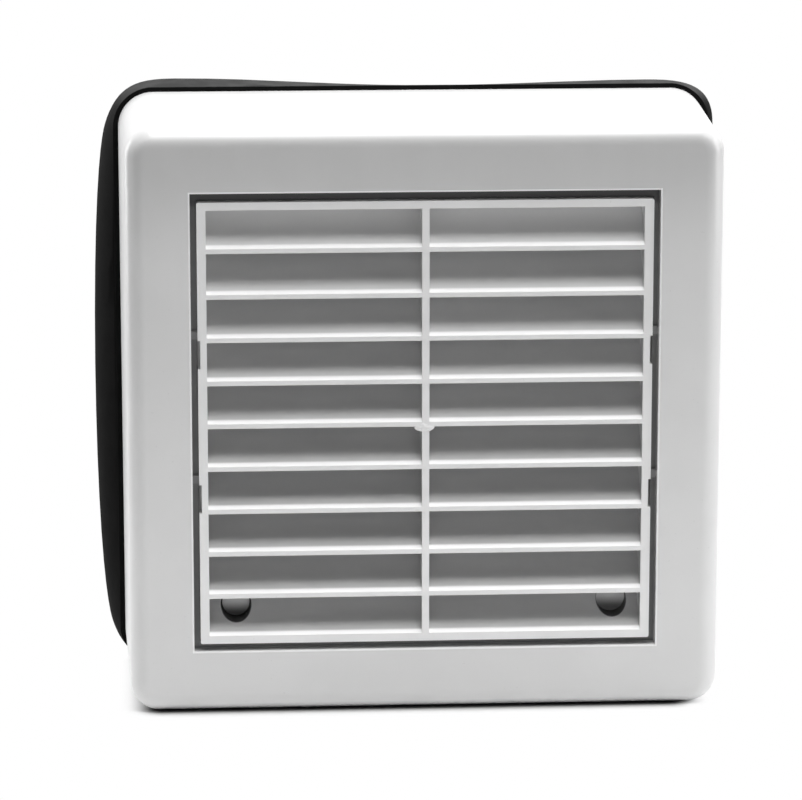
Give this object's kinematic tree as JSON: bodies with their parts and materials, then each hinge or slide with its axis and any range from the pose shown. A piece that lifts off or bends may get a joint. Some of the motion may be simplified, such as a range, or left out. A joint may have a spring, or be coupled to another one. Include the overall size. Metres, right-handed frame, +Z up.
{
  "type": "window ventilator",
  "caption": "Window extractor fan with a square louvred outer hood, a rubber window seal, a ducted fan and a room-side shutter under a slotted cover.",
  "frame": {"origin": "on the fan axis, in the plane of the outer hood's rear rim, where the window seal starts", "axes": "+X right as seen from outside, +Y from the outside to the room along the fan axis, +Z up"},
  "size_m": [0.2314, 0.1402, 0.219],
  "materials": {
    "hood_plastic": "satin moulded plastic",
    "grille_plastic": "satin moulded plastic",
    "seal_rubber": "smooth black rubber",
    "chassis_plastic": "moulded plastic with a fine grain",
    "screw_steel": "zinc-plated steel",
    "bolt_steel": "zinc-plated steel",
    "lamination_steel": "stacked laminations",
    "coil_winding": "varnished copper wire",
    "bracket_alloy": "die-cast, as cast",
    "bush_bronze": "sintered bronze",
    "shaft_steel": "ground steel",
    "rotor_steel": "laminated, turned",
    "impeller_plastic": "moulded plastic",
    "impeller_nut_plastic": "moulded plastic",
    "inner_seal_rubber": "soft foam rubber",
    "inner_frame_plastic": "satin moulded plastic",
    "shutter_frame_plastic": "satin moulded plastic",
    "flap_plastic": "thin moulded plastic",
    "link_plastic": "moulded plastic",
    "cover_plastic": "satin moulded plastic",
    "terminal_plastic": "moulded plastic",
    "clamp_plastic": "moulded plastic"
  },
  "bodies": {
    "casing": {"outer_hood": "hood_plastic", "louvre_grille": "grille_plastic", "window_seal": "seal_rubber", "fan_chassis": "chassis_plastic", "fan_duct": "chassis_plastic", "motor_spider": "chassis_plastic", "grille_screws": "screw_steel", "chassis_screws": "screw_steel", "shutter_screws": "screw_steel", "clamp_bolts": "bolt_steel", "clamp_nuts": "bolt_steel", "motor_screws": "bolt_steel", "motor_core": "lamination_steel", "motor_coil": "coil_winding", "motor_bracket_front": "bracket_alloy", "motor_bracket_rear": "bracket_alloy", "bearing_front": "bush_bronze", "bearing_rear": "bush_bronze", "inner_seal": "inner_seal_rubber", "inner_frame": "inner_frame_plastic", "frame_wall_top": "inner_frame_plastic", "frame_wall_bottom": "inner_frame_plastic", "frame_wall_left": "inner_frame_plastic", "frame_wall_right": "inner_frame_plastic", "shutter_frame": "shutter_frame_plastic", "cover_top": "cover_plastic", "cover_bottom": "cover_plastic", "cover_left": "cover_plastic", "cover_right": "cover_plastic", "inner_cover": "cover_plastic", "inlet_grille": "cover_plastic", "cover_screw": "screw_steel", "terminal_block": "terminal_plastic", "cable_clamp": "clamp_plastic"},
    "rotor": {"motor_shaft": "shaft_steel", "motor_rotor": "rotor_steel", "impeller": "impeller_plastic", "impeller_nut": "impeller_nut_plastic"},
    "flap_1": {"shutter_blade_1": "flap_plastic"},
    "flap_2": {"shutter_blade_2": "flap_plastic"},
    "flap_3": {"shutter_blade_3": "flap_plastic"},
    "flap_4": {"shutter_blade_4": "flap_plastic"},
    "flap_5": {"shutter_blade_5": "flap_plastic"},
    "flap_6": {"shutter_blade_6": "flap_plastic"},
    "link": {"shutter_link": "link_plastic"}
  },
  "joints": [
    {"name": "fan_spin", "type": "hinge", "parent": "casing", "child": "rotor", "pos_m": [0, 0, 0], "axis": [0, 1, 0], "continuous": true},
    {"name": "flap_1_swing", "type": "hinge", "parent": "casing", "child": "flap_1", "pos_m": [0, 0.047, 0.066], "axis": [-1, 0, 0], "range_deg": [0, 70]},
    {"name": "flap_2_swing", "type": "hinge", "parent": "casing", "child": "flap_2", "pos_m": [0, 0.047, 0.0426], "axis": [-1, 0, 0], "range_deg": [0, 70]},
    {"name": "flap_3_swing", "type": "hinge", "parent": "casing", "child": "flap_3", "pos_m": [0, 0.047, 0.0192], "axis": [-1, 0, 0], "range_deg": [0, 70]},
    {"name": "flap_4_swing", "type": "hinge", "parent": "casing", "child": "flap_4", "pos_m": [0, 0.047, -0.0042], "axis": [-1, 0, 0], "range_deg": [0, 70]},
    {"name": "flap_5_swing", "type": "hinge", "parent": "casing", "child": "flap_5", "pos_m": [0, 0.047, -0.0276], "axis": [-1, 0, 0], "range_deg": [0, 70]},
    {"name": "flap_6_swing", "type": "hinge", "parent": "casing", "child": "flap_6", "pos_m": [0, 0.047, -0.051], "axis": [-1, 0, 0], "range_deg": [0, 70]},
    {"name": "link_pin", "type": "hinge", "parent": "flap_1", "child": "link", "pos_m": [0.0432, 0.05586, 0.06756], "axis": [-1, 0, 0], "range_deg": [-70, 0]}
  ],
  "couplings": [
    {"joint": "flap_2_swing", "follows": "flap_1_swing", "ratio": 1},
    {"joint": "flap_3_swing", "follows": "flap_1_swing", "ratio": 1},
    {"joint": "flap_4_swing", "follows": "flap_1_swing", "ratio": 1},
    {"joint": "flap_5_swing", "follows": "flap_1_swing", "ratio": 1},
    {"joint": "flap_6_swing", "follows": "flap_1_swing", "ratio": 1},
    {"joint": "link_pin", "follows": "flap_1_swing", "ratio": -1}
  ]
}
